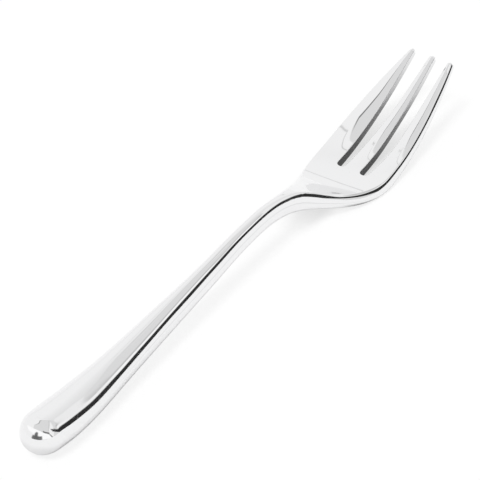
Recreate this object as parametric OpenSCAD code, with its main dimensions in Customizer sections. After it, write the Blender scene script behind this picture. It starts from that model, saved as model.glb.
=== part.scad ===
// Pastry fork, forged and polished from one bar of stainless steel.
// X runs across the fork, Y from the grip to the tips, Z up from the table it rests on.

/* [Lengths] */
// Grip, from the rounded end to the start of the neck
grip_length = 62; // [50:1:80]
// Neck, the slim raised part
neck_length = 28; // [22:1:40]
// Head, from the neck to the roots of the slots
head_length = 26; // [20:1:36]
// Tines, from the roots of the slots to the tips
tine_length = 34; // [26:1:46]

/* [Grip] */
// Grip at its widest
grip_width = 10; // [7:0.1:14]
// Grip at its thickest
grip_thickness = 9.2; // [6:0.1:10]
// Length of the rounded end of the grip
end_round = 5; // [3:0.1:7]
// How far the very end lifts off the table
end_lift = 1.1; // [0:0.1:2]

/* [Neck] */
// Neck at its slimmest, seen from above
neck_width = 3.5; // [2.5:0.1:5.5]
// Neck at its slimmest, seen from the side
neck_thickness = 5.6; // [3:0.1:7]
// Height of the underside of the neck over the table
neck_rise = 7.6; // [4:0.1:14]

/* [Head] */
// Head across the roots of the tines
head_width = 20.6; // [19:0.1:26]
// Metal at the roots of the tines
head_thickness = 2.5; // [1.8:0.1:3.5]
// How far the top of the head sinks towards its middle
head_dish = 0.5; // [0:0.1:1.2]
// Width of the rounding along the upper outer edges of the head and tines
edge_round = 1.1; // [0.5:0.05:1.4]
// Width of the rounding along their lower edges
foot_round = 0.95; // [0.4:0.05:1.2]

/* [Tines] */
// Wide cutting tine at its root
cutting_root = 6.6; // [5.5:0.1:7.5]
// Middle tine at its root
centre_root = 4.1; // [3.4:0.1:4.8]
// Slots at their roots
slot_width = 2.1; // [1.6:0.1:2.8]
// Width of the rounding along the walls of the slots
slot_wall_round = 0.2; // [0.1:0.05:0.5]
// How far the middle of each tine stands above its edges
tine_crown = 0.25; // [0:0.05:0.4]
// How far the edge of the cutting tine swells beyond the head
cutting_swell = 0.2; // [0:0.05:0.6]
// How far the inner edge of the right tine is ground back
right_relief = 0.6; // [0:0.05:1]
// Distance from the tip of the cutting tine to the middle tip
cutting_tip_pitch = 5.6; // [4.8:0.1:6.6]
// Distance from the middle tip to the right tip
right_tip_pitch = 4.9; // [4:0.1:6]
// Each tine at its tip, before its rounding
tip_width = 1.4; // [1:0.1:2]
// Metal at the tips
tip_thickness = 1.6; // [1:0.1:2.2]
// Height of the underside of the tips over the table
tip_rise = 14; // [8:0.5:20]

/* [Hidden] */

steel = "gainsboro";

// Places along Y where the parts of the forging meet, with the middle of the fork at 0
fork_length = grip_length + neck_length + head_length + tine_length;
grip_end = -fork_length/2;
neck_start = grip_end + grip_length;
head_start = neck_start + neck_length;
tine_start = head_start + head_length;
fork_end = tine_start + tine_length;

// Share of half the width that rounds over where the section is an oval
oval_share = 0.92;
// The rounding of each tip as a share of its width
tip_round_share = 0.55;
tip_round = tip_width*tip_round_share;

// Points round each rounded side of a section
arc_count = 9;
// Points inside each flat stretch of a section, on the slim parts, the tines and the head
slim_flat_count = 1;
tine_flat_count = 3;
head_flat_count = 9;
// Sections along the rounded end, the rest of the grip, the neck, the head and a tine
end_count = 6;
grip_count = 16;
neck_count = 10;
head_count = 14;
tine_count = 14;
tip_count = 3;
// Sides of the round root of a slot
slot_sides = 12;
// How far the slot cutters run past the metal
overrun = 1;
// Step along Y for measuring a slope, as a share of the length
slope_step_share = 0.001;
slope_step = fork_length*slope_step_share;

// Places along each part, as shares of its length
function grip_at(share) = grip_end + share*grip_length;
function neck_at(share) = neck_start + share*neck_length;
function head_at(share) = head_start + share*head_length;
function tine_at(share) = tine_start + share*tine_length;
function blend(from, to, share) = from + (to - from)*share;

// Width from the rounded end of the grip to the neck: place share, then share from neck to grip width
grip_width_shares = [
  [0, 0.85], [0.065, 0.93], [0.145, 1], [0.26, 0.92], [0.42, 0.66], [0.645, 0.385], [0.89, 0.17]
];
neck_width_shares = [[0.04, 0.08], [0.29, 0.025], [0.62, 0]];
// Width from the neck to the roots of the tines: place share, then share from neck to head width
shoulder_width_shares = [[0.86, 0.012]];
head_width_shares = [
  [0, 0.055], [0.12, 0.12], [0.27, 0.265], [0.42, 0.45], [0.577, 0.67], [0.73, 0.85], [0.885, 0.965], [1, 1]
];
width_points = [
  for (p = grip_width_shares) [grip_at(p[0]), blend(neck_width, grip_width, p[1])],
  for (p = neck_width_shares) [neck_at(p[0]), blend(neck_width, grip_width, p[1])],
  for (p = shoulder_width_shares) [neck_at(p[0]), blend(neck_width, head_width, p[1])],
  for (p = head_width_shares) [head_at(p[0]), blend(neck_width, head_width, p[1])]
];

// Height of the underside: the fork rests near the end of the grip and under the head
grip_rise_shares = [[0.19, 0], [0.32, 0.05], [0.48, 0.185], [0.73, 0.42], [0.97, 0.68]];
neck_rise_shares = [[0.36, 0.93], [0.66, 1], [0.93, 0.89]];
head_rise_shares = [[0.15, 0.7], [0.35, 0.43], [0.54, 0.19], [0.73, 0.05], [0.92, 0]];
tip_rise_shares = [[0.14, 0.065], [0.33, 0.19], [0.56, 0.41], [0.79, 0.7], [1, 1]];
rise_points = [
  [grip_end, end_lift],
  for (p = grip_rise_shares) [grip_at(p[0]), neck_rise*p[1]],
  for (p = neck_rise_shares) [neck_at(p[0]), neck_rise*p[1]],
  for (p = head_rise_shares) [head_at(p[0]), neck_rise*p[1]],
  for (p = tip_rise_shares) [tine_at(p[0]), tip_rise*p[1]]
];

// Thickness: place share, then share from the thinner to the thicker of the named sizes
grip_thickness_shares = [[0, 1], [0.13, 0.97], [0.26, 0.82], [0.48, 0.57], [0.73, 0.41], [0.97, 0.24]];
neck_thickness_shares = [[0.36, 0.08], [0.68, 0]];
head_thickness_shares = [[0, 0.84], [0.15, 0.62], [0.35, 0.37], [0.54, 0.21], [0.73, 0.1], [1, 0]];
tine_thickness_shares = [[0.25, 0.72], [0.6, 0.4], [1, 0]];
thickness_points = [
  for (p = grip_thickness_shares) [grip_at(p[0]), blend(neck_thickness, grip_thickness, p[1])],
  for (p = neck_thickness_shares) [neck_at(p[0]), blend(neck_thickness, grip_thickness, p[1])],
  for (p = head_thickness_shares) [head_at(p[0]), blend(head_thickness, neck_thickness, p[1])],
  for (p = tine_thickness_shares) [tine_at(p[0]), blend(tip_thickness, head_thickness, p[1])]
];

// Share of the dish that each place has: none on the neck, most at the roots, none at the tips
head_dish_shares = [[0, 0], [0.6, 0.7]];
tine_dish_shares = [[0, 1], [0.4, 0.7], [1, 0]];
dish_points = [
  for (p = head_dish_shares) [head_at(p[0]), p[1]],
  for (p = tine_dish_shares) [tine_at(p[0]), p[1]]
];

// Share of its crown that each place of a tine has: none at the root, where it leaves the head
crown_shares = [[0, 0], [0.25, 1], [1, 1]];

// Most that the upper part of a side may round over: half an oval grip or neck, then the edge of the head
grip_oval_shares = [[0, 1], [1, 1]];
neck_oval_shares = [[0.9, 1]];
head_edge_shares = [[0.5, 1.2], [1, 1]];
tip_edge_shares = [[1, 0.6]];
oval_points = [
  for (p = grip_oval_shares) [grip_at(p[0]), grip_width/2*p[1]],
  for (p = neck_oval_shares) [neck_at(p[0]), neck_width/2*p[1]]
];
edge_points = [
  each oval_points,
  for (p = head_edge_shares) [head_at(p[0]), edge_round*p[1]],
  for (p = tip_edge_shares) [tine_at(p[0]), edge_round*p[1]]
];
// The same for its lower part
head_foot_shares = [[0.5, 1.25], [1, 1]];
tip_foot_shares = [[1, 0.6]];
foot_points = [
  each oval_points,
  for (p = head_foot_shares) [head_at(p[0]), foot_round*p[1]],
  for (p = tip_foot_shares) [tine_at(p[0]), foot_round*p[1]]
];
// How far the widest level of the section lies below its middle, as a share of half the thickness
neck_waist_shares = [[0, 0], [0.8, 0]];
head_waist_shares = [[0.6, 0.15], [1, 0.3]];
waist_points = [
  for (p = neck_waist_shares) [neck_at(p[0]), p[1]],
  for (p = head_waist_shares) [head_at(p[0]), p[1]]
];

// Edges of the tines across the head, from left to right, at their roots
cutting_outer = -head_width/2;
cutting_inner = cutting_outer + cutting_root;
centre_left = cutting_inner + slot_width;
centre_right = centre_left + centre_root;
right_inner = centre_right + slot_width;
right_outer = head_width/2;
centre_line = (centre_left + centre_right)/2;
cutting_tip = centre_line - cutting_tip_pitch;
right_tip = centre_line + right_tip_pitch;

// How far each edge has gone from its root to its tip: place share, then share of the way
cutting_outer_shares = [
  [0, 0], [0.25, 0.01], [0.44, 0.07], [0.59, 0.2], [0.735, 0.41], [0.88, 0.71], [1, 1]
];
inner_shares = [[0, 0], [0.26, 0.35], [0.5, 0.6], [0.75, 0.78], [1, 1]];
centre_shares = [[0, 0], [0.24, 0.16], [0.44, 0.43], [0.64, 0.62], [0.83, 0.8], [1, 1]];
right_outer_shares = [
  [0, 0], [0.12, 0.065], [0.3, 0.18], [0.5, 0.36], [0.66, 0.535], [0.81, 0.71], [0.9, 0.835], [1, 1]
];
// Places where the swell and the relief rise and fall
bump_shares = [[0, 0], [0.12, 0.6], [0.27, 1], [0.5, 0.45], [0.75, 0.08], [1, 0]];

// Slope of the straight line between points i and i + 1
function step_slope(p, i) = (p[i + 1][1] - p[i][1])/(p[i + 1][0] - p[i][0]);

// Slope of the curve at point i, level where the points turn back
function point_slope(p, i) =
  i == 0 ? step_slope(p, 0)
  : i == len(p) - 1 ? step_slope(p, i - 1)
  : let (before = step_slope(p, i - 1), after = step_slope(p, i))
    before*after <= 0 ? 0 : 2*before*after/(before + after);

// Number of the stretch between points that x lies in
function stretch_of(p, x, i = 0) = i >= len(p) - 2 || x < p[i + 1][0] ? i : stretch_of(p, x, i + 1);

// Smooth curve through [place, value] points, which never overshoots them
function curve(p, x) =
  let (
    i = stretch_of(p, x),
    run = p[i + 1][0] - p[i][0],
    t = max(0, min(1, (x - p[i][0])/run)),
    from = p[i][1],
    to = p[i + 1][1],
    leave = point_slope(p, i)*run,
    arrive = point_slope(p, i + 1)*run
  )
  from + leave*t + (3*(to - from) - 2*leave - arrive)*t*t + (2*(from - to) + leave + arrive)*t*t*t;

function middle_height(y) = curve(rise_points, y) + curve(thickness_points, y)/2;
function lean(y) = atan2(middle_height(y + slope_step) - middle_height(y - slope_step), 2*slope_step);

// How full the section is near a rounded end, for a distance from that end
function fullness(distance, rounding) =
  distance >= rounding ? 1 : sqrt(1 - pow(1 - distance/rounding, 2));

// A point of the section: x across the fork, h square to the metal from its middle at the place y.
// The dish lifts the top towards its sides and leaves the underside flat across.
function placed(y, x, h) =
  let (
    tilt = lean(y),
    top_share = max(0, min(1, 0.5 + h/curve(thickness_points, y))),
    dish = head_dish*curve(dish_points, y)*pow(x/(head_width/2), 2),
    rise = h + dish*top_share
  )
  [x, y - rise*sin(tilt), middle_height(y) + rise*cos(tilt)];

// Points of one rounded side, from the foot up. The way is 1 on the right and -1 on the left.
function side_points(y, edge, way, upper, lower, deep, waist) =
  [for (i = [0:arc_count - 1]) let (a = -90 + 180*i/(arc_count - 1), width = a < 0 ? lower : upper)
    placed(y, edge - way*width*(1 - cos(a)), waist + (a < 0 ? deep + waist : deep - waist)*sin(a))];

// The section at the place y: two rounded sides and two flat stretches, the upper one with a crown
function section(y, left, right, left_round, right_round, full, crown, flat_count) =
  let (
    half = (right - left)/2*full,
    middle = (left + right)/2,
    foot = curve(foot_points, y),
    left_upper = min(oval_share*half, left_round*full),
    left_lower = min(left_upper, foot*full),
    right_upper = min(oval_share*half, right_round*full),
    right_lower = min(right_upper, foot*full),
    deep = curve(thickness_points, y)/2*full,
    waist = -deep*curve(waist_points, y),
    right_side = side_points(y, middle + half, 1, right_upper, right_lower, deep, waist),
    left_side = side_points(y, middle - half, -1, left_upper, left_lower, deep, waist)
  )
  concat(
    right_side,
    [for (i = [1:flat_count]) let (share = i/(flat_count + 1))
      placed(y, blend(middle + half - right_upper, middle - half + left_upper, share),
        deep + crown*full*sin(180*share))],
    [for (i = [arc_count - 1:-1:0]) left_side[i]],
    [for (i = [1:flat_count])
      placed(y, blend(middle - half + left_lower, middle + half - right_lower, i/(flat_count + 1)), -deep)]
  );

// Skin over a row of sections, closed at each end by triangles that meet in one point
module skin(sections, first_point, last_point) {
  n = len(sections[0]);
  rows = len(sections);
  body_points = [for (s = sections) each s];
  first_index = rows*n;
  last_index = first_index + 1;
  top = (rows - 1)*n;
  sides = [for (r = [0:rows - 2]) for (k = [0:n - 1]) let (a = r*n + k, b = r*n + (k + 1)%n)
    each [[a, b + n, a + n], [a, b, b + n]]];
  first_end = [for (k = [0:n - 1]) [(k + 1)%n, k, first_index]];
  last_end = [for (k = [0:n - 1]) [top + k, top + (k + 1)%n, last_index]];
  polyhedron(concat(body_points, [first_point, last_point]), concat(sides, first_end, last_end));
}

// Distances from a rounded end, from the smallest section to the full one
function end_steps(rounding, count) = [for (i = [1:count]) rounding*(1 - cos(90*i/count))];
// Even places after the first, up to the last
function places_after(first, last, count) = [for (i = [1:count]) blend(first, last, i/count)];

// Stretch of the grip, neck or head, from the place where its end face or its rounded end lies
module body(end_place, places, flat_count) {
  last_place = places[len(places) - 1];
  skin([for (y = places) let (w = curve(width_points, y), edge = curve(edge_points, y))
    section(y, -w/2, w/2, edge, edge, fullness(y - grip_end, end_round), 0, flat_count)],
    placed(end_place, 0, 0), placed(last_place, 0, 0));
}

// One tine between two edges, each with its place at the root and at the tip, its shares, its bump
// and whether it lies at a slot
module tine(
  left_root, left_tip, left_shares, left_bump, left_at_slot,
  right_root, right_tip_edge, right_shares, right_bump, right_at_slot
) {
  tips = end_steps(tip_round, tip_count);
  steps = concat(
    [0], places_after(0, tine_length - tip_round, tine_count),
    [for (i = [tip_count - 2:-1:0]) tine_length - tips[i]]);
  skin([for (s = steps) let (
      share = s/tine_length,
      y = tine_start + s,
      bump = curve(bump_shares, share),
      left = blend(left_root, left_tip, curve(left_shares, share)) + left_bump*bump,
      right = blend(right_root, right_tip_edge, curve(right_shares, share)) + right_bump*bump,
      outer = curve(edge_points, y)
    ) section(y, left, right,
      left_at_slot ? slot_wall_round : outer, right_at_slot ? slot_wall_round : outer,
      fullness(tine_length - s, tip_round), tine_crown*curve(crown_shares, share), tine_flat_count)],
    placed(tine_start, (left_root + right_root)/2, 0),
    placed(fork_end, (left_tip + right_tip_edge)/2, 0));
}

module handle() {
  rounded = [for (s = end_steps(end_round, end_count)) grip_end + s];
  rest = places_after(grip_end + end_round, neck_start, grip_count);
  color(steel) body(grip_end, concat(rounded, rest), slim_flat_count);
}

module neck() {
  rest = places_after(neck_start, head_start, neck_count);
  color(steel) body(neck_start, concat([neck_start], rest), slim_flat_count);
}

// Root of one slot, a round end whose centre lies where the tines begin
module slot_root(x) {
  translate([x, tine_start, -overrun])
    cylinder(d = slot_width, h = neck_rise + grip_thickness + 2*overrun, $fn = slot_sides);
}

module head() {
  rest = places_after(head_start, tine_start, head_count);
  color(steel) difference() {
    body(head_start, concat([head_start], rest), head_flat_count);
    slot_root(cutting_inner + slot_width/2);
    slot_root(centre_right + slot_width/2);
  }
}

module tine_left() {
  color(steel) tine(
    cutting_outer, cutting_tip - tip_width/2, cutting_outer_shares, -cutting_swell, false,
    cutting_inner, cutting_tip + tip_width/2, inner_shares, 0, true);
}

module tine_centre() {
  color(steel) tine(
    centre_left, centre_line - tip_width/2, centre_shares, 0, true,
    centre_right, centre_line + tip_width/2, centre_shares, 0, true);
}

module tine_right() {
  color(steel) tine(
    right_inner, right_tip - tip_width/2, inner_shares, right_relief, true,
    right_outer, right_tip + tip_width/2, right_outer_shares, 0, false);
}

handle();
neck();
head();
tine_left();
tine_centre();
tine_right();
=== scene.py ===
import math

import bmesh
import bpy
import numpy as np
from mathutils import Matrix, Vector


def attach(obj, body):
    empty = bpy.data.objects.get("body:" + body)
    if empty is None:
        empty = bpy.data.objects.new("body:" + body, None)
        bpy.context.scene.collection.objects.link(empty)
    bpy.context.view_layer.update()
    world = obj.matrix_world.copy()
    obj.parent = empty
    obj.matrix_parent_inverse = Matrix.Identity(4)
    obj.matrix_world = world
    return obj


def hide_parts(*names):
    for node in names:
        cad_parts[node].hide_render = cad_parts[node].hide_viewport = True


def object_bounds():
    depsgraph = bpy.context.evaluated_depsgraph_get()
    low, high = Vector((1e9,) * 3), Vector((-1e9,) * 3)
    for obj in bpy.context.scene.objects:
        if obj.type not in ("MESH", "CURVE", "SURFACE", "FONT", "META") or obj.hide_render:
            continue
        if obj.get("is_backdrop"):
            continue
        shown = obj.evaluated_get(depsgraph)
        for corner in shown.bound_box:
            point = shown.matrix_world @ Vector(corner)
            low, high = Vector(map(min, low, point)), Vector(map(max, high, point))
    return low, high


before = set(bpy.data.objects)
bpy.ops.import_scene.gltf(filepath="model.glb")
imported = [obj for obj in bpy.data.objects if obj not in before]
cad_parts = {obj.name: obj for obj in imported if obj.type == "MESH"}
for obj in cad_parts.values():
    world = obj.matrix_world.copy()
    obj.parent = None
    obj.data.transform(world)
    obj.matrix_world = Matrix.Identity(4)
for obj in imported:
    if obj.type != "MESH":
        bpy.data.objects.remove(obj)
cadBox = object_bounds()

mm = 0.001

# places along the fork, in millimetres from its middle
places = {"gripEnd": -74.9, "neckStart": -13.0, "headStart": 15.0, "tineStart": 41.0, "tips": 74.85}

# sizes of the skin in millimetres, each a list of (place along the fork, size there)
skin = {
    # whole width of grip, neck and head
    "width": [(-75, 8.8), (-70.97, 9.4), (-66.01, 9.9), (-58.88, 9.48), (-48.96, 7.79), (-35.01, 6.0025),
              (-19.82, 4.605), (-11.88, 4.02), (-4.88, 3.6625), (4.36, 3.5), (11.08, 3.705), (15, 4.44),
              (18.12, 5.552), (22.02, 8.0315), (25.92, 11.195), (30.0, 14.957), (33.98, 18.035),
              (38.01, 20.0015), (41, 20.6)],
    # height of the underside over the table
    "rise": [(-75, 1.1), (-63.22, 0), (-55.16, 0.38), (-45.24, 1.406), (-29.74, 3.192), (-14.86, 5.168),
             (-2.92, 7.068), (5.48, 7.6), (13.04, 6.764), (18.9, 5.32), (24.1, 3.268), (29.04, 1.444),
             (33.98, 0.38), (38.92, 0), (45.76, 0.91), (52.22, 2.66), (60.04, 5.74), (67.86, 9.8), (75, 14)],
    "thick": [(-75, 8.95), (-66.94, 9.0), (-58.88, 8.552), (-45.24, 7.652), (-29.74, 7.076), (-14.86, 6.464),
              (-2.92, 5.888), (6.04, 5.6), (15, 5.104), (18.9, 4.422), (24.1, 3.647), (29.04, 3.151),
              (33.98, 2.81), (41, 2.5), (49.5, 2.248), (61.4, 1.96), (75, 1.6)],
    # how far the sides of the head stand over its middle, and the middle of a tine over its sides
    "dish": [(15, 0), (30.6, 0.35), (41, 0.5), (54.6, 0.35), (75, 0)],
    "crown": [(41, 0), (49.5, 0.25), (75, 0.25)],
    # how wide the upper and the lower edge round over, at most half the width
    "edge": [(-75, 5), (-13, 5), (12.2, 1.75), (22, 1.25), (29, 0.98), (36, 1.12), (41, 0.98), (75, 0.6)],
    "foot": [(-75, 5), (-13, 5), (12.2, 1.75), (28, 1.1875), (41, 0.95), (75, 0.57)],
    # how far the widest level lies under the middle, as a share of half the thickness
    "waist": [(-13, 0), (9.4, 0), (28, 0.22), (41, 0.47), (75, 0.47)],
    # fullness of the rounding, above and below the widest level: 2 is an ellipse, less leans straighter
    "edgePower": [(-75, 2.2), (-67, 2.0), (-56, 1.8), (-44, 1.85), (-32, 1.95), (-24, 1.8), (-15, 1.8),
                  (-6, 1.95), (10, 2.1), (22, 2.1), (30, 1.55), (35, 1.33), (41, 1.4), (75, 1.42)],
    "footPower": [(-75, 2.0), (28, 2.1), (75, 2.1)],
    "halfHead": 10.3,      # half the width where the tines begin
    "endPower": 2.15,      # fullness of the rounded end of the grip, seen from above
    "endRound": 5.0,       # length of the rounded end of the grip
    "tipRound": 0.77,      # length of the rounding of each tip
    "slotRound": 0.2,      # rounding along the slots
    "soften": 1.5,         # how far a curve is smoothed along the fork
    "softenMore": 3,       # the same for the dish and the edges, and for the crown
    "softenCrown": 1,
    "edgeBlend": 8,        # how sharply an edge's rounding gives way to half the width
}

# edges of the tines: x at root and tip, swell, and (share of the tine, share of the way) between them
edges = {
    "cuttingOuter": (-10.3, -5.85, -0.2, [
        (0, 0), (0.25, 0.01), (0.44, 0.07), (0.59, 0.2), (0.735, 0.41), (0.88, 0.71), (1, 1)]),
    "cuttingInner": (-3.7, -4.45, 0, [(0, 0), (0.26, 0.35), (0.5, 0.6), (0.75, 0.78), (1, 1)]),
    "centreLeft": (-1.6, -0.25, 0, [(0, 0), (0.24, 0.16), (0.44, 0.43), (0.64, 0.62), (0.83, 0.8), (1, 1)]),
    "centreRight": (2.5, 1.15, 0, [(0, 0), (0.24, 0.16), (0.44, 0.43), (0.64, 0.62), (0.83, 0.8), (1, 1)]),
    "rightInner": (4.6, 4.65, 0.6, [(0, 0), (0.26, 0.35), (0.5, 0.6), (0.75, 0.78), (1, 1)]),
    "rightOuter": (10.3, 6.05, 0, [
        (0, 0), (0.12, 0.065), (0.3, 0.18), (0.5, 0.36), (0.66, 0.535), (0.81, 0.71), (0.9, 0.835), (1, 1)]),
    # share of the swell along the tine
    "swell": [(0, 0), (0.12, 0.6), (0.27, 1), (0.5, 0.45), (0.75, 0.08), (1, 0)],
}

# how finely the skin is divided
grid = {
    "across": [10, 8, 8, 8, 9],    # cutting tine, slot, middle tine, slot, right tine
    "layers": 24,                  # round each side, from the top to the underside
    "rimLayers": 5,                # of them, those that round each edge of a slot
    "endRows": 16, "gripRows": 76, "neckRows": 40, "shoulderRows": 30,
    "rootRows": 14, "rootReach": 7.0,      # rows that bend round the slot roots, and where they start
    "tineRows": 56, "tipRows": 7,
    "firstAngle": 8.0,             # where the rounded end of the grip closes, in degrees
    "lastAngle": 20.0,             # where the rounded tips close
    "relaxRounds": 600,            # how often the rows that bend round the slots are evened out
    "ovalFades": (10, 30),         # rows turn here from an oval's division to the flat head's
    "ovalReach": 0.55,             # share of an oval's top, and of its underside, that the columns cover
    "sectionSteps": 360,           # points round half a section, from which the rows are measured
    "tineEdgesFrom": 1.0,          # how far into the head its sides follow the tines' edges
    "edgeSamples": 69, "edgeSpacing": 0.5,     # samples along a tine's edge, and their distance over the head
}

# how a curve is sampled: millimetres between its points, points past each end, and reach of its softening
sampling = {"step": 0.1, "beyond": 80, "reach": 35}


# smooth curve through the points without overshoot, softened along the fork
def softCurve(points, spread=None):
    spread = skin["soften"] if spread is None else spread
    px = np.array([p[0] for p in points], float)
    py = np.array([p[1] for p in points], float)
    step = np.diff(py) / np.diff(px)
    slope = np.concatenate([[step[0]], np.zeros(len(px) - 2), [step[-1]]])
    for i in range(1, len(px) - 1):
        if step[i - 1] * step[i] > 0:
            slope[i] = 2 * step[i - 1] * step[i] / (step[i - 1] + step[i])
    spacing = sampling["step"]
    fine = np.arange(px[0], px[-1] + spacing / 2, spacing)
    i = np.clip(np.searchsorted(px, fine, side="right") - 1, 0, len(px) - 2)
    run = px[i + 1] - px[i]
    t = (fine - px[i]) / run
    leave, arrive, gap = slope[i] * run, slope[i + 1] * run, py[i + 1] - py[i]
    value = py[i] + leave * t + (3 * gap - 2 * leave - arrive) * t**2 + (leave + arrive - 2 * gap) * t**3
    # beyond its ends a curve goes straight on at the ends of the fork, and level elsewhere
    away = np.arange(1, sampling["beyond"] + 1) * spacing
    early = value[0] - (away[::-1] * slope[0] if px[0] <= places["gripEnd"] else 0 * away)
    late = value[-1] + (away * slope[-1] if px[-1] >= places["tips"] else 0 * away)
    xs = np.concatenate([fine[0] - away[::-1], fine, fine[-1] + away])
    vs = np.concatenate([early, value, late])
    if spread > 0:
        reach = int(spread * sampling["reach"])
        kernel = np.exp(-0.5 * (np.arange(-reach, reach + 1) * spacing / spread) ** 2)
        kernel /= kernel.sum()
        padded = np.concatenate([2 * vs[0] - vs[1:reach + 1][::-1], vs, 2 * vs[-1] - vs[-reach - 1:-1][::-1]])
        vs = np.convolve(padded, kernel, mode="valid")
    return lambda y: np.interp(y, xs, vs)


width = softCurve(skin["width"])
rise = softCurve(skin["rise"])
thick = softCurve(skin["thick"])
dish = softCurve(skin["dish"], skin["softenMore"])
crown = softCurve(skin["crown"], skin["softenCrown"])
edgeRound = softCurve(skin["edge"], skin["softenMore"])
footRound = softCurve(skin["foot"], skin["softenMore"])
waistShare = softCurve(skin["waist"], skin["softenMore"])
edgePower = softCurve(skin["edgePower"], skin["softenMore"])
footPower = softCurve(skin["footPower"], skin["softenMore"])


# x of a tine's edge by the place along the fork, led back over the head
def tineEdge(name):
    root, tip, swell, way = edges[name]
    start, length = places["tineStart"], places["tips"] - places["tineStart"]
    share = np.linspace(0, 1, grid["edgeSamples"])
    go = softCurve([(start + length * a, b) for a, b in way], 0)
    bump = softCurve([(start + length * a, b) for a, b in edges["swell"]], 0)
    y = start + length * share
    x = root + (tip - root) * go(y) + swell * bump(y)
    before = np.arange(places["headStart"], start, grid["edgeSpacing"])
    if abs(root) == skin["halfHead"]:
        plain = softCurve(skin["width"], 0)
        xb = math.copysign(1, root) * plain(before) / 2
    else:
        xb = 0 * before + root
    return softCurve(list(zip(np.concatenate([before, y]), np.concatenate([xb, x]))))


tineEdges = {name: tineEdge(name) for name in edges if name != "swell"}


def middleHeight(y):
    return rise(y) + thick(y) / 2


# how steeply the metal climbs, in radians
def leanOf(y, reach=0.2):
    return np.arctan2(middleHeight(y + reach) - middleHeight(y - reach), 2 * reach)


# a point of the skin: x across, h square to the metal from its middle at the place y
def placed(y, x, h):
    tilt = leanOf(y)
    topShare = np.clip(0.5 + h / thick(y), 0, 1)
    up = h + dish(y) * (x / skin["halfHead"]) ** 2 * topShare
    return np.stack([x + 0 * y, y - up * np.sin(tilt), middleHeight(y) + up * np.cos(tilt)], -1)


# share of the full size at a distance from a rounded end
def fullness(distance, length, power=2.0):
    return 1.0 if distance >= length else max(0.0, 1 - (1 - distance / length) ** power) ** (1 / power)


# the lesser of two lengths, with a soft change between them
def softLeast(a, b):
    power = skin["edgeBlend"]
    return (a ** -power + b ** -power) ** (-1 / power)


# half the thickness, the widest level, and how wide the upper and the lower edge round over
def rounding(y, half, full):
    deep = float(thick(y)) / 2 * full
    waist = -deep * float(waistShare(y))
    upper = softLeast(half, float(edgeRound(y)) * full)
    lower = softLeast(half, float(footRound(y)) * full)
    return deep, waist, upper, lower


# inset from the outline and height of an outer side, by the angle round it
def outerLayer(y, angle, deep, waist, upper, lower):
    turn = np.radians(angle)
    wide = np.where(turn >= 0, upper, lower)
    tall = np.where(turn >= 0, deep - waist, -deep - waist)
    share = 2 / np.where(turn >= 0, edgePower(y), footPower(y))
    return wide * (1 - np.abs(np.cos(turn)) ** share), waist + tall * np.abs(np.sin(turn)) ** share


# the same for the upright wall of a slot, which only rounds at its edges
def slotLayer(k, deep, full):
    r, rim, layers = skin["slotRound"] * full, grid["rimLayers"], grid["layers"]
    if k > layers / 2:
        inset, h = slotLayer(layers - k, deep, full)
        return inset, -h
    if k <= rim:
        turn = math.radians(90 * (1 - k / rim))
        return r * (1 - math.cos(turn)), deep - r * (1 - math.sin(turn))
    return 0.0, (deep - r) * (1 - (k - rim) / (layers / 2 - rim))


across = grid["across"]
layers = grid["layers"]
starts = np.concatenate([[0], np.cumsum(across)])
lastColumn = int(starts[-1])
tineSpans = [(int(starts[i]), int(starts[i + 1])) for i in (0, 2, 4)]
slotSpans = [(int(starts[i]), int(starts[i + 1])) for i in (1, 3)]
tineSides = [("cuttingOuter", "cuttingInner"), ("centreLeft", "centreRight"), ("rightInner", "rightOuter")]

# rows along the fork, evenly turned round the end of the grip
firstTurn = math.radians(grid["firstAngle"])
endTurns = np.linspace(firstTurn, math.pi / 2, grid["endRows"] + 1)
rows = list(places["gripEnd"] + skin["endRound"] * (1 - np.cos(endTurns)))
for end, count in [("neckStart", "gripRows"), ("headStart", "neckRows")]:
    rows += list(np.linspace(rows[-1], places[end], grid[count] + 1)[1:])
    if end == "neckStart":
        neckRow = len(rows) - 1
headRow = len(rows) - 1
rows += list(np.linspace(rows[-1], places["tineStart"] - grid["rootReach"], grid["shoulderRows"] + 1)[1:])
bendRow = len(rows) - 1
rows += list(np.linspace(rows[-1], places["tineStart"], grid["rootRows"] + 1)[1:])
rootRow = len(rows) - 1
rows += list(np.linspace(rows[-1], places["tips"] - skin["tipRound"], grid["tineRows"] + 1)[1:])
lastTurn = math.radians(grid["lastAngle"])
tipTurns = np.linspace(math.pi / 2, lastTurn, grid["tipRows"] + 1)[1:]
rows += list(places["tips"] - skin["tipRound"] * (1 - np.cos(tipTurns)))
tipRow = len(rows) - 1
rows = np.array(rows)


# columns where the tines begin, across the flat of the top or of the underside
def rootColumns(inset):
    y = places["tineStart"]
    x = np.zeros(lastColumn + 1)
    for (a, b), (leftName, rightName) in zip(tineSpans, tineSides):
        left = float(tineEdges[leftName](y)) + (inset if a == 0 else skin["slotRound"])
        right = float(tineEdges[rightName](y)) - (inset if b == lastColumn else skin["slotRound"])
        x[a:b + 1] = np.linspace(left, right, b - a + 1)
    for a, b in slotSpans:
        x[a:b + 1] = np.linspace(x[a], x[b], b - a + 1)
    return x


rootInsets = rounding(places["tineStart"], skin["halfHead"], 1)[2:]
columnsAt = {"top": rootColumns(rootInsets[0]), "under": rootColumns(rootInsets[1])}
sideOf = {"top": 0, "under": layers}
indexZero = float(np.interp(0, columnsAt["top"], np.arange(lastColumn + 1)))

# the skin's points by column, row and layer
point = {}


# x of the left and the right side behind the tines
def bodyEdges(y):
    if y < places["headStart"] + grid["tineEdgesFrom"]:
        return -float(width(y)) / 2, float(width(y)) / 2
    return float(tineEdges["cuttingOuter"](y)), float(tineEdges["rightOuter"](y))


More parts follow.
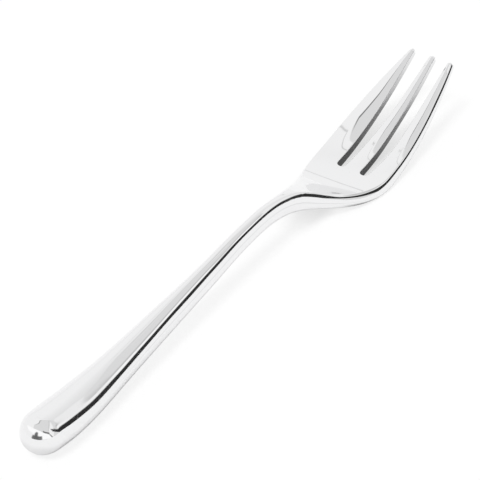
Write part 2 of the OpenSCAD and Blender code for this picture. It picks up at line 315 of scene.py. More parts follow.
# how far a row is divided like an oval (1) and not like the flat head (0)
def ovalness(y):
    oval, flat = grid["ovalFades"]
    t = min(1, max(0, (flat - y) / (flat - oval)))
    return t * t * (3 - 2 * t)


# a row of grip, neck or head, spread over its section by length along the surface
def placeBodyRow(r):
    y = float(rows[r])
    steps, cover = grid["sectionSteps"], grid["ovalReach"]
    full = fullness(y - places["gripEnd"], skin["endRound"], skin["endPower"])
    left, right = bodyEdges(y)
    oval = ovalness(y)
    for way, half in ((-1, -left * full), (1, right * full)):
        deep, waist, upper, lower = rounding(y, half, full)
        # half of the section, from the middle of the top round to the middle of the underside
        turns = np.linspace(90, -90, steps + 1)
        inset, height = outerLayer(y, turns, deep, waist, upper, lower)
        hx = np.concatenate([[0], half - inset, [0]])
        hh = np.concatenate([[deep], height, [-deep]])
        line = placed(y + 0 * hx, hx, hh)
        run = np.concatenate([[0], np.cumsum(np.linalg.norm(np.diff(line, axis=0), axis=1))])
        total, toWaist = run[-1], run[steps // 2 + 1]

        def along(s):
            return np.interp(s, run, hx), np.interp(s, run, hh)

        flat = {"top": half - upper, "under": half - lower}
        for side in ("top", "under"):
            reach = toWaist if side == "top" else total - toWaist
            end = way * columnsAt[side][lastColumn if way > 0 else 0]
            for c in range(lastColumn + 1):
                if (c < indexZero) != (way < 0):
                    continue
                share = (c - indexZero) / (lastColumn - indexZero) if way > 0 else (indexZero - c) / indexZero
                flatS = way * columnsAt[side][c] / end * flat[side]
                s = oval * share * cover * reach + (1 - oval) * flatS
                x, h = along(s if side == "top" else total - s)
                point[c, r, sideOf[side]] = placed(y, way * float(x), float(h))
        first = oval * cover * toWaist + (1 - oval) * flat["top"]
        last = total - oval * cover * (total - toWaist) - (1 - oval) * flat["under"]
        c = lastColumn if way > 0 else 0
        for k in range(1, layers):
            turned = float(np.interp(-(90 - 180 * k / layers), -turns, run[1:-1]))
            even = first + (last - first) * k / layers
            x, h = along(oval * even + (1 - oval) * turned)
            point[c, r, k] = placed(y, way * float(x), float(h))


# middle and radius of the root of a slot
def slotCentre(a, b):
    return (columnsAt["top"][a] + columnsAt["top"][b]) / 2, (columnsAt["top"][b] - columnsAt["top"][a]) / 2


# the flat of the head bends its rows round the roots of the slots
def placeRootRows():
    for side in ("top", "under"):
        count = rootRow - bendRow
        plan = np.zeros((count + 1, lastColumn + 1, 2))
        for i in range(count + 1):
            y = float(rows[bendRow + i])
            left, right = bodyEdges(y)
            insetL = rounding(y, -left, 1)[2 if side == "top" else 3]
            insetR = rounding(y, right, 1)[2 if side == "top" else 3]
            base = columnsAt[side]
            plan[i, :, 0] = np.where(
                base < 0, base / base[0] * (left + insetL), base / base[-1] * (right - insetR))
            plan[i, :, 1] = y
        for a, b in slotSpans:
            middle, radius = slotCentre(a, b)
            turn = np.linspace(-math.pi / 2, math.pi / 2, b - a + 1)
            plan[count, a:b + 1, 0] = middle + radius * np.sin(turn)
            plan[count, a:b + 1, 1] = places["tineStart"] - radius * np.cos(turn)
        for again in range(grid["relaxRounds"]):
            plan[1:-1, 1:-1] = (plan[:-2, 1:-1] + plan[2:, 1:-1] + plan[1:-1, :-2] + plan[1:-1, 2:]) / 4
        for i in range(count + 1):
            for c in range(lastColumn + 1):
                x, y = plan[i, c]
                deep = float(thick(y)) / 2
                point[c, bendRow + i, sideOf[side]] = placed(y, x, deep if side == "top" else -deep)
    for a, b in slotSpans:
        middle, radius = slotCentre(a, b)
        wall = radius - skin["slotRound"]
        for k in range(1, layers):
            for c in range(a, b + 1):
                turn = -math.pi / 2 + math.pi * (c - a) / (b - a)
                y = places["tineStart"] - wall * math.cos(turn)
                inset, h = slotLayer(k, float(thick(y)) / 2, 1)
                y -= inset * math.cos(turn)
                point[c, rootRow, k] = placed(y, middle + (wall + inset) * math.sin(turn), h)


# a row of the three tines
def placeTineRow(r):
    y = float(rows[r])
    full = fullness(places["tips"] - y, skin["tipRound"])
    for (a, b), (leftName, rightName) in zip(tineSpans, tineSides):
        left, right = float(tineEdges[leftName](y)), float(tineEdges[rightName](y))
        middle, half = (left + right) / 2, (right - left) / 2 * full
        deep, waist, upper, lower = rounding(y, half, full)
        insets = {}
        for c, name in ((a, leftName), (b, rightName)):
            slotSide = "Outer" not in name
            for k in range(layers + 1):
                if slotSide:
                    inset, h = slotLayer(k, deep, full)
                else:
                    inset, h = outerLayer(y, 90 - 180 * k / layers, deep, waist, upper, lower)
                insets[c, k] = inset
                x = middle + (half - inset) * (1 if c == b else -1)
                point[c, r, k] = placed(y, x, h)
        for c in range(a + 1, b):
            share = (c - a) / (b - a)
            for k, sign in ((0, 1), (layers, -1)):
                x0 = middle - half + insets[a, k]
                x1 = middle + half - insets[b, k]
                swell = float(crown(y)) * full * math.sin(math.pi * share) if sign > 0 else 0
                point[c, r, k] = placed(y, x0 + (x1 - x0) * share, sign * deep + swell)


# fills an end face between its four sides, and domes it outwards
def placeEnd(r, a, b, dome=None):
    for c in range(a + 1, b):
        for k in range(1, layers):
            u, v = (c - a) / (b - a), k / layers
            sides = (1 - u) * point[a, r, k] + u * point[b, r, k]
            rims = (1 - v) * point[c, r, 0] + v * point[c, r, layers]
            corners = ((1 - u) * (1 - v) * point[a, r, 0] + u * (1 - v) * point[b, r, 0]
                       + (1 - u) * v * point[a, r, layers] + u * v * point[b, r, layers])
            p = sides + rims - corners
            if dome:
                length, turn, way = dome
                out = (1 - (2 * u - 1) ** 2) * (1 - (2 * v - 1) ** 2)
                f2 = math.sin(turn) ** 2
                rimDrop = 1 - math.sqrt(1 - f2)
                drop = 1 - math.sqrt(1 - f2 * (1 - out))
                p = p + np.array([0, way * length * (rimDrop - drop), 0])
            point[c, r, k] = p


for r in range(rootRow + 1):
    placeBodyRow(r)
placeRootRows()
for r in range(rootRow, tipRow + 1):
    placeTineRow(r)
placeEnd(0, 0, lastColumn, (skin["endRound"], firstTurn, -1))
for r in (neckRow, headRow):
    placeEnd(r, 0, lastColumn)
for a, b in tineSpans:
    placeEnd(rootRow, a, b)
    placeEnd(tipRow, a, b, (skin["tipRound"], lastTurn, 1))
print("skin placed:", len(point), "points,", len(rows), "rows")


# a block of the skin's lattice: a grid, pushed down once for each layer, then moved onto the skin
def makeBlock(firstRow, endRow, a, b):
    bm = bmesh.new()
    bmesh.ops.create_grid(bm, x_segments=b - a, y_segments=endRow - firstRow, size=0.5)
    bmesh.ops.scale(bm, verts=bm.verts, vec=(b - a, endRow - firstRow, 1))
    bmesh.ops.translate(bm, verts=bm.verts, vec=((a + b) / 2, (firstRow + endRow) / 2, 0))
    level = list(bm.faces)
    for k in range(layers):
        made = bmesh.ops.extrude_face_region(bm, geom=level)["geom"]
        bmesh.ops.translate(bm, verts=[g for g in made if isinstance(g, bmesh.types.BMVert)], vec=(0, 0, -1))
        if k > 0:
            bmesh.ops.delete(bm, geom=level, context="FACES")
        level = [g for g in made if isinstance(g, bmesh.types.BMFace)]
    bmesh.ops.recalc_face_normals(bm, faces=bm.faces)
    return bm


# rows and columns of each piece
pieces = {
    "handle": (0, neckRow, 0, lastColumn),
    "neck": (neckRow, headRow, 0, lastColumn),
    "head": (headRow, rootRow, 0, lastColumn),
    "tine_left": (rootRow, tipRow) + tineSpans[0],
    "tine_centre": (rootRow, tipRow) + tineSpans[1],
    "tine_right": (rootRow, tipRow) + tineSpans[2],
}


# faces inside the metal, where two pieces meet
def isJoint(name, cells):
    rowsHere = {cell[1] for cell in cells}
    if len(rowsHere) > 1:
        return False
    row = rowsHere.pop()
    if row in (0, tipRow):
        return False
    if name == "head" and row == rootRow:
        mid = sum(cell[0] for cell in cells) / len(cells)
        return not any(a < mid < b for a, b in slotSpans)
    return True


# the pieces share the normals where they meet, so these are summed over all of them first
built = {}
summed = {}
for name, block in pieces.items():
    bm = makeBlock(*block)
    cells = {v: tuple(int(round(n)) for n in (v.co.x, v.co.y, -v.co.z)) for v in bm.verts}
    for v in bm.verts:
        v.co = Vector(point[cells[v]]) * mm
    bm.normal_update()
    joints = []
    for f in bm.faces:
        f.smooth = True
        corner = [cells[v] for v in f.verts]
        joint = isJoint(name, corner)
        joints.append(joint)
        if not joint:
            weight = f.normal * (f.calc_area() * 1e6) ** 2      # area in square millimetres
            for cell in corner:
                summed[cell] = summed.get(cell, Vector((0, 0, 0))) + weight
    loops = [[cells[v] for v in f.verts] for f in bm.faces]
    faceNormals = [f.normal.copy() for f in bm.faces]
    data = bpy.data.meshes.new(name)
    bm.to_mesh(data)
    bm.free()
    built[name] = (data, joints, loops, faceNormals)

for name, (data, joints, loops, faceNormals) in built.items():
    normals = []
    for joint, corner, faceNormal in zip(joints, loops, faceNormals):
        normals += [faceNormal if joint else summed[cell].normalized() for cell in corner]
    data.normals_split_custom_set(normals)
    built[name] = bpy.data.objects.new("polished_" + name, data)
    bpy.context.scene.collection.objects.link(built[name])
    print("built", name, len(data.polygons), "faces")


# polished steel: bright, with hairline scratches, faint wiping haze and a slight waviness from polishing
steel = {
    "colour": (0.86, 0.86, 0.865),
    "roughness": (0.035, 0.085),       # clean, and in the haziest places
    "hazeScale": 55.0,
    "hazeDetail": 4,
    "hazeRange": (0.42, 0.75),             # noise values of the clean and of the haziest places
    "scratchTurns": (0.35, -0.5, 1.3),     # directions of the hairlines
    "scratchTilt": (0.1, 0.07),            # of each further direction, and of all
    "scratchShift": (0.31, 0.17),          # of each further direction
    "scratchScale": (1900.0, 45.0, 500.0),     # of the noise, across a hairline, along it and in height
    "scratchWidth": (0.012, 0.3),          # width of a hairline, and share of it at full strength
    "scratchRoughness": 0.16,
    "patchScale": (120.0, 40.0),           # of the first direction's patches, and more for each further one
    "patchRange": (0.5, 0.68),             # noise values where hairlines begin, and are all there
    "waves": ((70.0, 1.0e-5), (260.0, 1.6e-6)),     # scale and height of the waviness, in metres
}


# a shader node at a place in the editor
def node(tree, kind, x, y, **values):
    n = tree.nodes.new(kind)
    n.location = (x, y)
    for key, value in values.items():
        setattr(n, key, value)
    return n


# shared effect: fine hairlines in a few directions, thinned out in patches
def makeHairlines():
    group = bpy.data.node_groups.new("hairlines", "ShaderNodeTree")
    group.interface.new_socket("Vector", in_out="INPUT", socket_type="NodeSocketVector")
    group.interface.new_socket("Mask", in_out="OUTPUT", socket_type="NodeSocketFloat")
    link = group.links.new
    given = node(group, "NodeGroupInput", -900, 0)
    tiltEach, tiltAll = steel["scratchTilt"]
    shiftX, shiftY = steel["scratchShift"]
    widest, fullShare = steel["scratchWidth"]
    found = None
    for i, turn in enumerate(steel["scratchTurns"]):
        turned = node(group, "ShaderNodeMapping", -700, -350 * i)
        turned.inputs["Rotation"].default_value = (tiltEach * i, tiltAll, turn)
        turned.inputs["Location"].default_value = (shiftX * i, shiftY * i, 0)
        stretched = node(group, "ShaderNodeVectorMath", -500, -350 * i, operation="MULTIPLY")
        stretched.inputs[1].default_value = steel["scratchScale"]
        noise = node(group, "ShaderNodeTexNoise", -300, -350 * i)
        noise.inputs["Scale"].default_value = 1.0
        noise.inputs["Detail"].default_value = 1.0
        off = node(group, "ShaderNodeMath", -100, -350 * i, operation="SUBTRACT")
        off.inputs[1].default_value = 0.5
        size = node(group, "ShaderNodeMath", 60, -350 * i, operation="ABSOLUTE")
        thin = node(group, "ShaderNodeMapRange", 220, -350 * i)
        thin.inputs["From Min"].default_value = widest
        thin.inputs["From Max"].default_value = widest * fullShare
        patches = node(group, "ShaderNodeTexNoise", -300, -350 * i - 180)
        patches.inputs["Scale"].default_value = steel["patchScale"][0] + steel["patchScale"][1] * i
        some = node(group, "ShaderNodeMapRange", 220, -350 * i - 180)
        some.inputs["From Min"].default_value, some.inputs["From Max"].default_value = steel["patchRange"]
        both = node(group, "ShaderNodeMath", 400, -350 * i, operation="MULTIPLY")
        link(given.outputs["Vector"], turned.inputs["Vector"])
        link(turned.outputs[0], stretched.inputs[0])
        link(stretched.outputs[0], noise.inputs["Vector"])
        link(noise.outputs["Fac"], off.inputs[0])
        link(off.outputs[0], size.inputs[0])
        link(size.outputs[0], thin.inputs["Value"])
        link(turned.outputs[0], patches.inputs["Vector"])
        link(patches.outputs["Fac"], some.inputs["Value"])
        link(thin.outputs["Result"], both.inputs[0])
        link(some.outputs["Result"], both.inputs[1])
        if found:
            most = node(group, "ShaderNodeMath", 560, -350 * i, operation="MAXIMUM")
            link(found, most.inputs[0])
            link(both.outputs[0], most.inputs[1])
            found = most.outputs[0]
        else:
            found = both.outputs[0]
    result = node(group, "NodeGroupOutput", 760, 0)
    link(found, result.inputs["Mask"])
    return group


def makeSteel():
    material = bpy.data.materials.new("polishedSteel")
    material.use_nodes = True
    tree = material.node_tree
    tree.nodes.clear()
    link = tree.links.new
    out = node(tree, "ShaderNodeOutputMaterial", 900, 0)
    surface = node(tree, "ShaderNodeBsdfPrincipled", 600, 0)
    link(surface.outputs["BSDF"], out.inputs["Surface"])
    surface.inputs["Metallic"].default_value = 1.0
    surface.inputs["Base Color"].default_value = (*steel["colour"], 1)
    where = node(tree, "ShaderNodeTexCoord", -1100, 0)
    haze = node(tree, "ShaderNodeTexNoise", -500, 200)
    haze.inputs["Scale"].default_value = steel["hazeScale"]
    haze.inputs["Detail"].default_value = steel["hazeDetail"]
    link(where.outputs["Object"], haze.inputs["Vector"])
    spread = node(tree, "ShaderNodeMapRange", -250, 200)
    spread.inputs["From Min"].default_value, spread.inputs["From Max"].default_value = steel["hazeRange"]
    spread.inputs["To Min"].default_value, spread.inputs["To Max"].default_value = steel["roughness"]
    link(haze.outputs["Fac"], spread.inputs["Value"])
    scratches = node(tree, "ShaderNodeGroup", -500, -50)
    scratches.node_tree = makeHairlines()
    link(where.outputs["Object"], scratches.inputs["Vector"])
    rough = node(tree, "ShaderNodeMath", 100, 100, operation="MULTIPLY_ADD")
    rough.inputs[1].default_value = steel["scratchRoughness"]
    link(scratches.outputs["Mask"], rough.inputs[0])
    link(spread.outputs["Result"], rough.inputs[2])
    link(rough.outputs[0], surface.inputs["Roughness"])
    last = None
    for i, (scale, height) in enumerate(steel["waves"]):
        wave = node(tree, "ShaderNodeTexNoise", -500, -300 - 250 * i)
        wave.inputs["Scale"].default_value = scale
        wave.inputs["Detail"].default_value = 0
        link(where.outputs["Object"], wave.inputs["Vector"])
        bump = node(tree, "ShaderNodeBump", -100 + 200 * i, -300)
        bump.inputs["Strength"].default_value = 1.0
        bump.inputs["Distance"].default_value = height
        link(wave.outputs["Fac"], bump.inputs["Height"])
        if last:
            link(last, bump.inputs["Normal"])
        last = bump.outputs["Normal"]
    link(last, surface.inputs["Normal"])
    return material


polish = makeSteel()
for name, piece in built.items():
    piece.data.materials.append(polish)
    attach(piece, "root")
    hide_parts(name)
print("steel on", len(built), "pieces")

# the white table, which keeps the fork's shadow, with places of painted shade given in millimetres
table = {
    "half": 1.6,            # half its side, in metres
    "lit": 0.21,            # share of its white that comes from the lamps, and so falls into shadow
    "plain": 0.80,          # share that the camera sees as plain white
    "litMirrored": 0.9, "plainMirrored": 0.12,    # the same shares as the steel mirrors them
    "widenFrom": 60.0,      # place along the fork from which the dark places widen
    # places of painted shade: middle across, fades across, behind and ahead as (from none, to full), how they
    # widen, and how much darker they are. The first is painted shade that the camera sees under the slots,
    # and the others are painted shade seen only in the steel's reflection: close under head and grip, and a
    # thin dark line beside the neck
    "paintedShadeUnderSlots": (-2.5, (8.0, 4.0), (14.0, 28.0), (75.0, 50.0), 0.0, 0.17),
    "headShadeMirrored": (0.0, (11.0, 7.5), (27.0, 34.0), (104.0, 44.0), 0.13, 0.89),
    "gripShadeMirrored": (0.0, (10.0, 3.0), (-84.0, -70.0), (-10.0, -60.0), 0.0, 0.19),
    "paintedLineMirrored": (15.9, (1.7, 0.4), (-50.0, -25.0), (42.0, 26.0), 0.0, 0.17),
}


def makeTable():
    bm = bmesh.new()
    bmesh.ops.create_grid(bm, x_segments=1, y_segments=1, size=table["half"])
    data = bpy.data.meshes.new("tableTop")
    bm.to_mesh(data)
    bm.free()
    floor = bpy.data.objects.new("tableTop", data)
    bpy.context.scene.collection.objects.link(floor)
    floor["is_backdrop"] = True
    material = bpy.data.materials.new("whiteTable")
    data.materials.append(material)
    material.use_nodes = True
    tree = material.node_tree
    tree.nodes.clear()
    link = tree.links.new
    count = [0]

    def put(kind, values, **settings):
        count[0] += 1
        n = node(tree, kind, 180 * (count[0] % 8) - 700, -180 * (count[0] // 8), **settings)
        for name, value in values.items():
            if isinstance(value, (int, float)):
                n.inputs[name].default_value = value
            else:
                link(value, n.inputs[name])
        return n.outputs["Value" if kind == "ShaderNodeMath" else "Result"]

    def calc(operation, *values):
        return put("ShaderNodeMath", dict(enumerate(values)), operation=operation)

    def fade(value, ends):
        return put("ShaderNodeMapRange", {"Value": value, "From Min": ends[0] * mm, "From Max": ends[1] * mm},
                   interpolation_type="SMOOTHSTEP")

    path = node(tree, "ShaderNodeLightPath", -1100, 300)
    where = node(tree, "ShaderNodeTexCoord", -1300, 0)
    parts = node(tree, "ShaderNodeSeparateXYZ", -1100, 0)
    link(where.outputs["Object"], parts.inputs[0])

    # how much darker one place of painted shade makes a point of the table
    def paintedShadeAt(name):
        middle, acrossEnds, behind, ahead, widen, share = table[name]
        off = calc("ABSOLUTE", calc("SUBTRACT", parts.outputs["X"], middle * mm))
        past = calc("MAXIMUM", calc("SUBTRACT", parts.outputs["Y"], table["widenFrom"] * mm), 0.0)
        off = calc("SUBTRACT", off, calc("MULTIPLY", past, widen))
        found = calc("MULTIPLY", fade(off, acrossEnds), fade(parts.outputs["Y"], behind))
        return calc("MULTIPLY", calc("MULTIPLY", found, fade(parts.outputs["Y"], ahead)), share)

    mirrored = path.outputs["Is Glossy Ray"]
    # painted shade close under head and grip, seen only in the steel's reflection
    inMirror = calc("MAXIMUM", paintedShadeAt("headShadeMirrored"), paintedShadeAt("gripShadeMirrored"))
    # a thin painted dark line on the table beside the neck, seen only in the steel's reflection
    inMirror = calc("MAXIMUM", inMirror, paintedShadeAt("paintedLineMirrored"))
    # painted shade that the camera sees on the table under the head, through the slots
    inView = paintedShadeAt("paintedShadeUnderSlots")
    darker = calc("MULTIPLY_ADD", calc("SUBTRACT", inMirror, inView), mirrored, inView)
    openShare = calc("SUBTRACT", 1.0, darker)
    seen = calc("MAXIMUM", calc("MAXIMUM", path.outputs["Is Camera Ray"], path.outputs["Is Glossy Ray"]),
                path.outputs["Is Transmission Ray"])
    lit = node(tree, "ShaderNodeBsdfDiffuse", 900, 200)
    litShare = calc("MULTIPLY_ADD", mirrored, table["litMirrored"] - table["lit"], table["lit"])
    link(calc("MULTIPLY", openShare, litShare), lit.inputs["Color"])
    plain = node(tree, "ShaderNodeEmission", 900, 0)
    plainShare = calc("MULTIPLY_ADD", mirrored, table["plainMirrored"] - table["plain"], table["plain"])
    link(calc("MULTIPLY", calc("MULTIPLY", seen, openShare), plainShare), plain.inputs["Strength"])
    add = node(tree, "ShaderNodeAddShader", 1100, 100)
    link(lit.outputs[0], add.inputs[0])
    link(plain.outputs[0], add.inputs[1])
    out = node(tree, "ShaderNodeOutputMaterial", 1300, 100)
    link(add.outputs[0], out.inputs["Surface"])


makeTable()

# soft lamp over the grip end, whose shadow falls towards the tips
lamp = {"azimuth": 180.0, "elevation": 58.5, "angle": 17.0, "strength": 1.42}
sun = bpy.data.objects.new("softLamp", bpy.data.lights.new("softLamp", "SUN"))
sun.data.energy = lamp["strength"]
sun.data.angle = math.radians(lamp["angle"])
a, e = math.radians(lamp["azimuth"]), math.radians(lamp["elevation"])
towardsLamp = Vector((math.sin(a) * math.cos(e), math.cos(a) * math.cos(e), math.sin(e)))
sun.rotation_euler = towardsLamp.to_track_quat("Z", "Y").to_euler()
sun.visible_glossy = False
bpy.context.scene.collection.objects.link(sun)

# the studio that the steel mirrors, by direction in degrees: azimuth from the tines' side towards the right
# tine, and elevation. A place on the ceiling is (across, along) for each unit of its height, and a pair of
# values is a fade, from none to full
studio = {
    "panel": 1.0,            # big soft box behind the left side, and the light room
    "dark": 0.03,            # whatever is unlit
    "room": 0.62,            # what lights the table
    "lowest": (-2.5, -1.0),  # fade at the horizon, under which all is as light as the soft box
    "lineCore": 0.35,        # shares of a line and of a stroke that are at full strength
    "strokeCore": 0.4,
    "flattest": 0.05,        # least slope at which a direction still meets the ceiling
}

# grey ceiling, with the opening overhead: its left edge is sharp and bent over the tines
ceiling = {
    "tone": 0.80,
    "corner": (-0.4, 0.2), "slopes": (1.2, -0.45),       # of the left edge, ahead of its corner and behind it
    "overGrip": -0.58, "toGrip": (0.0, -0.36),           # where that edge ends up, and the fade to it
    "sharp": (-0.015, 0.015),
    "endFrom": -0.3, "end": (0.62, 0.44),                # its end over the tines, which slants from here on
    "softAcross": (-0.8, 0.55), "softAlong": (0.4, 0.6), "softShare": 0.75,       # softer grey past that end
    "rimWide": 0.042, "rimFar": (0.33, 0.2), "rimNear": (-0.35, -0.15), "rimShare": 0.75,     # dark rim
    "rightSlope": 1.4, "right": (0.87, 0.94), "rightAlong": (0.6, 0.45),          # right and near edges
    "rightLine": (0.9, 0.1), "rightShare": 0.3,          # grey line along them: middle and width
}

# cable that hangs below the ceiling, in strokes of a width
cable = {
    "strokes": [((-0.74, 0.425), (-0.42, 0.335), 0.011), ((-0.42, 0.335), (-0.33, 0.41), 0.013),
                ((-0.33, 0.41), (-0.24, 0.6), 0.013)],
    "share": 0.3,
}

# soft lamp over the grip end, and the soft box that comes down beside it
gripLamp = {
    "tone": 1.12,
    "along": (-0.68, -0.78), "over": (22, 30), "round": (165, 150),
    "boxOver": (30, 22), "boxRound": (-75, -85),
}

# right side: a grey streak over a bright strip over a dark gap, which climb towards the grip
rightSide = {
    "turnsFrom": 60.0, "streakClimb": 2.0, "gapClimb": 1.2,
    "streak": 0.58,
    # its foot is the higher of two lines: slope, elevation at azimuth 0, and highest
    "streakFoot": [(-1.0, 74.5, 47.0), (-0.6, 61.0, 30.2)],
    "streakOver": (7, 0), "streakRound": (32, 48),
    "strip": (0.96, 1.07), "stripTurns": (42, 52),       # tones behind and farther round, and the change
    "stripOver": (-1, -4), "stripRound": (10, 20),
    "end": (61, 54),                                     # of streak and strip
    "gapRound": [(20, 26), (86, 80)], "gapTop": (18, 15), "gapFoot": (-3, -0.5),
    "gapHigher": (53, 49),                               # where its top is a degree higher
}

# far edge of the table, behind the tines
farEdge = {"elevation": 14.6, "wide": 1.0, "share": 0.22, "round": [(-80, -70), (14, 6)]}

# camera stand in front of the grip, with its arm and foot: from, to and softness, or strokes of a width
stand = {
    "postRound": (139, 194, 8), "postUp": (-2, 21, 5),
    "strokes": [((173, 18), (175, 33), 15.0), ((130, 46), (104, 28), 6.0), ((104, 28), (94, -2), 3.0)],
    "share": 0.85,
    "footRound": (112, 148, 6), "footWide": 1.6, "footShare": 0.4,
}


def makeWorld():
    world = bpy.data.worlds.new("studio")
    bpy.context.scene.world = world
    world.use_nodes = True
    tree = world.node_tree
    tree.nodes.clear()
    link = tree.links.new
    place = [0]

    def put(kind, **settings):
        place[0] += 1
        return node(tree, kind, 180 * (place[0] % 12), -160 * (place[0] // 12), **settings)

    def calc(operation, *values):
        n = put("ShaderNodeMath", operation=operation)
        for socket, value in zip(n.inputs, values):
            if isinstance(value, (int, float)):
                socket.default_value = value
            else:
                link(value, socket)
        return n.outputs[0]

    # 0 at the first value, 1 at the second
    def ramp(value, start, end):
        n = put("ShaderNodeMapRange", interpolation_type="SMOOTHSTEP")
        n.inputs["From Min"].default_value = start
        n.inputs["From Max"].default_value = end
        link(value, n.inputs["Value"])
        return n.outputs["Result"]

    def mix(a, b, share):
        return calc("MULTIPLY_ADD", calc("SUBTRACT", b, a), share, a)

    def darkened(tone, share):
        return calc("MULTIPLY", tone, calc("SUBTRACT", 1.0, share))

    def both(*shares):
        found = shares[0]
        for other in shares[1:]:
            found = calc("MULTIPLY", found, other)
        return found

    def most(*shares):
        found = shares[0]
        for other in shares[1:]:
            found = calc("MAXIMUM", found, other)
        return found

    # 1 between two values, with soft ends
    def between(value, low, high, soft):
        return both(ramp(value, low - soft / 2, low + soft / 2),
                    ramp(value, high + soft / 2, high - soft / 2))

    # 1 along a thin line
    def line(value, at, wide):
        return ramp(calc("ABSOLUTE", calc("SUBTRACT", value, at)), wide, wide * studio["lineCore"])

    # 1 along a stroke between two directions
    def stroke(u, v, start, end, wide):
        du, dv = end[0] - start[0], end[1] - start[1]
        along = calc("MULTIPLY_ADD", calc("SUBTRACT", u, start[0]), du,
                     calc("MULTIPLY", calc("SUBTRACT", v, start[1]), dv))
        t = calc("MINIMUM", calc("MAXIMUM", calc("DIVIDE", along, du * du + dv * dv), 0.0), 1.0)
        offU = calc("SUBTRACT", calc("SUBTRACT", u, start[0]), calc("MULTIPLY", t, du))
        offV = calc("SUBTRACT", calc("SUBTRACT", v, start[1]), calc("MULTIPLY", t, dv))
        away = calc("SQRT", calc("MULTIPLY_ADD", offU, offU, calc("MULTIPLY", offV, offV)))
        return ramp(away, wide, wide * studio["strokeCore"])

    where = node(tree, "ShaderNodeTexCoord", -900, 0)
    parts = node(tree, "ShaderNodeSeparateXYZ", -700, 0)
    link(where.outputs["Generated"], parts.inputs[0])
    x, y, z = parts.outputs["X"], parts.outputs["Y"], parts.outputs["Z"]
    azimuth = calc("MULTIPLY", calc("ARCTAN2", x, y), 180 / math.pi)
    elevation = calc("MULTIPLY", calc("ARCSINE", z), 180 / math.pi)
    # azimuth from 0 to 360, for what stands in front
    front = calc("ADD", azimuth, calc("MULTIPLY", calc("LESS_THAN", azimuth, 0.0), 360.0))
    # where the direction meets a ceiling
    height = calc("MAXIMUM", z, studio["flattest"])
    across = calc("DIVIDE", x, height)
    along = calc("DIVIDE", y, height)

    # ceiling: its left edge, its end over the tines, and the softer grey past that end
    cornerAcross, cornerAlong = ceiling["corner"]
    ahead, back = ceiling["slopes"]
    pastCorner = calc("SUBTRACT", along, cornerAlong)
    edgeAt = most(calc("MULTIPLY", pastCorner, ahead), calc("MULTIPLY", pastCorner, back))
    edgeAt = calc("ADD", edgeAt, cornerAcross)
    edgeAt = mix(edgeAt, ceiling["overGrip"], ramp(along, *ceiling["toGrip"]))
    pastEdge = calc("SUBTRACT", across, edgeAt)
    pastEnd = calc("SUBTRACT", along, calc("MAXIMUM", calc("SUBTRACT", across, ceiling["endFrom"]), 0.0))
    sharp = both(ramp(pastEdge, *ceiling["sharp"]), ramp(pastEnd, *ceiling["end"]))
    soft = both(ramp(across, *ceiling["softAcross"]), ramp(along, *ceiling["softAlong"]),
                ceiling["softShare"])
    seen = mix(studio["panel"], ceiling["tone"], most(sharp, soft))
    rim = both(line(pastEdge, 0.0, ceiling["rimWide"]), ramp(along, *ceiling["rimFar"]),
               ramp(along, *ceiling["rimNear"]), ceiling["rimShare"])
    seen = darkened(seen, rim)
    hanging = most(*[stroke(across, along, *part) for part in cable["strokes"]])
    seen = darkened(seen, both(hanging, cable["share"]))
    # its right and near edges, over the grip end
    slant = calc("MULTIPLY_ADD", along, ceiling["rightSlope"], across)
    reach = ramp(along, *ceiling["rightAlong"])
    seen = mix(seen, studio["panel"], both(ramp(slant, *ceiling["right"]), reach))
    seen = darkened(seen, both(line(slant, *ceiling["rightLine"]), reach, ceiling["rightShare"]))

    lampShare = most(ramp(elevation, *gripLamp["over"]), ramp(front, *gripLamp["round"]))
    seen = mix(seen, gripLamp["tone"], both(ramp(along, *gripLamp["along"]), lampShare))
    seen = mix(seen, studio["panel"],
               both(ramp(elevation, *gripLamp["boxOver"]), ramp(azimuth, *gripLamp["boxRound"])))

    turned = calc("MAXIMUM", calc("SUBTRACT", azimuth, rightSide["turnsFrom"]), 0.0)
    streakFoot = most(*[calc("MINIMUM", calc("MULTIPLY_ADD", azimuth, slope, start), highest)
                        for slope, start, highest in rightSide["streakFoot"]])
    over = calc("SUBTRACT", elevation, calc("MULTIPLY_ADD", turned, rightSide["streakClimb"], streakFoot))
    sideEnd = ramp(azimuth, *rightSide["end"])
    seen = mix(seen, rightSide["streak"],
               both(ramp(over, *rightSide["streakOver"]), ramp(azimuth, *rightSide["streakRound"]), sideEnd))
    strip = mix(*rightSide["strip"], ramp(azimuth, *rightSide["stripTurns"]))
    seen = mix(seen, strip,
               both(ramp(over, *rightSide["stripOver"]), ramp(azimuth, *rightSide["stripRound"]), sideEnd))
    gapAt = calc("SUBTRACT", elevation, calc("MULTIPLY", turned, rightSide["gapClimb"]))
    gapTop = calc("SUBTRACT", gapAt, ramp(azimuth, *rightSide["gapHigher"]))
    gap = both(*[ramp(azimuth, *ends) for ends in rightSide["gapRound"]],
               ramp(gapTop, *rightSide["gapTop"]), ramp(gapAt, *rightSide["gapFoot"]))
    seen = mix(seen, studio["dark"], gap)

    behind = both(*[ramp(azimuth, *ends) for ends in farEdge["round"]])
    edgeLine = line(elevation, farEdge["elevation"], farEdge["wide"])
    seen = darkened(seen, both(edgeLine, behind, farEdge["share"]))

    post = both(between(front, *stand["postRound"]), between(elevation, *stand["postUp"]))
    standing = most(post, *[stroke(front, elevation, *part) for part in stand["strokes"]])
    seen = mix(seen, studio["dark"], both(standing, stand["share"]))
    foot = both(between(front, *stand["footRound"]), line(elevation, 0, stand["footWide"]))
    seen = darkened(seen, both(foot, stand["footShare"]))
    seen = mix(studio["panel"], seen, ramp(elevation, *studio["lowest"]))

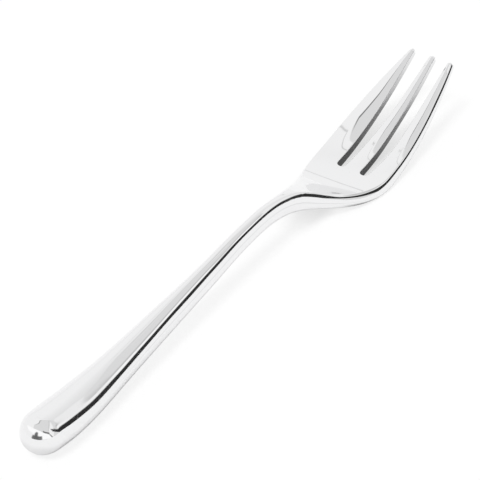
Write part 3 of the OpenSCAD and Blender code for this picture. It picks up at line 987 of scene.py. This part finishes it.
    # the steel mirrors the studio, the table is lit by an even room, and the camera sees white
    mirrored = node(tree, "ShaderNodeBackground", 2400, 200)
    link(seen, mirrored.inputs["Color"])
    lighting = node(tree, "ShaderNodeBackground", 2400, 0)
    lighting.inputs["Strength"].default_value = studio["room"]
    lighting.inputs["Color"].default_value = (1, 1, 1, 1)
    behindAll = node(tree, "ShaderNodeBackground", 2400, -200)
    behindAll.inputs["Color"].default_value = (1, 1, 1, 1)
    path = node(tree, "ShaderNodeLightPath", 2200, 500)
    pick = node(tree, "ShaderNodeMixShader", 2600, 100)
    link(path.outputs["Is Glossy Ray"], pick.inputs[0])
    link(lighting.outputs[0], pick.inputs[1])
    link(mirrored.outputs[0], pick.inputs[2])
    shown = node(tree, "ShaderNodeMixShader", 2800, 0)
    link(most(path.outputs["Is Camera Ray"], path.outputs["Is Transmission Ray"]), shown.inputs[0])
    link(pick.outputs[0], shown.inputs[1])
    link(behindAll.outputs[0], shown.inputs[2])
    out = node(tree, "ShaderNodeOutputWorld", 3000, 0)
    link(shown.outputs[0], out.inputs["Surface"])


makeWorld()

# camera at the photograph's viewing angle, found from the fork's outline: azimuth from the grip's end towards
# the right, distance and target in millimetres
camera = {
    "azimuth": 35.5, "elevation": 38.57, "distance": 500.0,
    "target": (-7.23, 6.93, 0.0), "focalPixels": 2251.75, "framePixels": 480, "sensor": 36.0,
    "nearest": 0.01,        # what is closer to the camera isn't seen, in metres
}
a, e = math.radians(camera["azimuth"]), math.radians(camera["elevation"])
back = Vector((math.sin(a) * math.cos(e), -math.cos(a) * math.cos(e), math.sin(e)))
eye = bpy.data.objects.new("camera", bpy.data.cameras.new("camera"))
eye.data.sensor_width = camera["sensor"]
eye.data.lens = camera["focalPixels"] / camera["framePixels"] * camera["sensor"]
eye.data.clip_start = camera["nearest"]
eye.location = (Vector(camera["target"]) + back * camera["distance"]) * mm
eye.rotation_euler = back.to_track_quat("Z", "Y").to_euler()
bpy.context.scene.collection.objects.link(eye)
bpy.context.scene.camera = eye

bpy.context.scene.view_settings.view_transform = "Standard"
print("table, lamp, studio and camera made")

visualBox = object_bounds()
for name, box in (("cad", cadBox), ("visual", visualBox)):
    print(name, "box in millimetres:", [tuple(round(n / mm, 2) for n in corner) for corner in box])
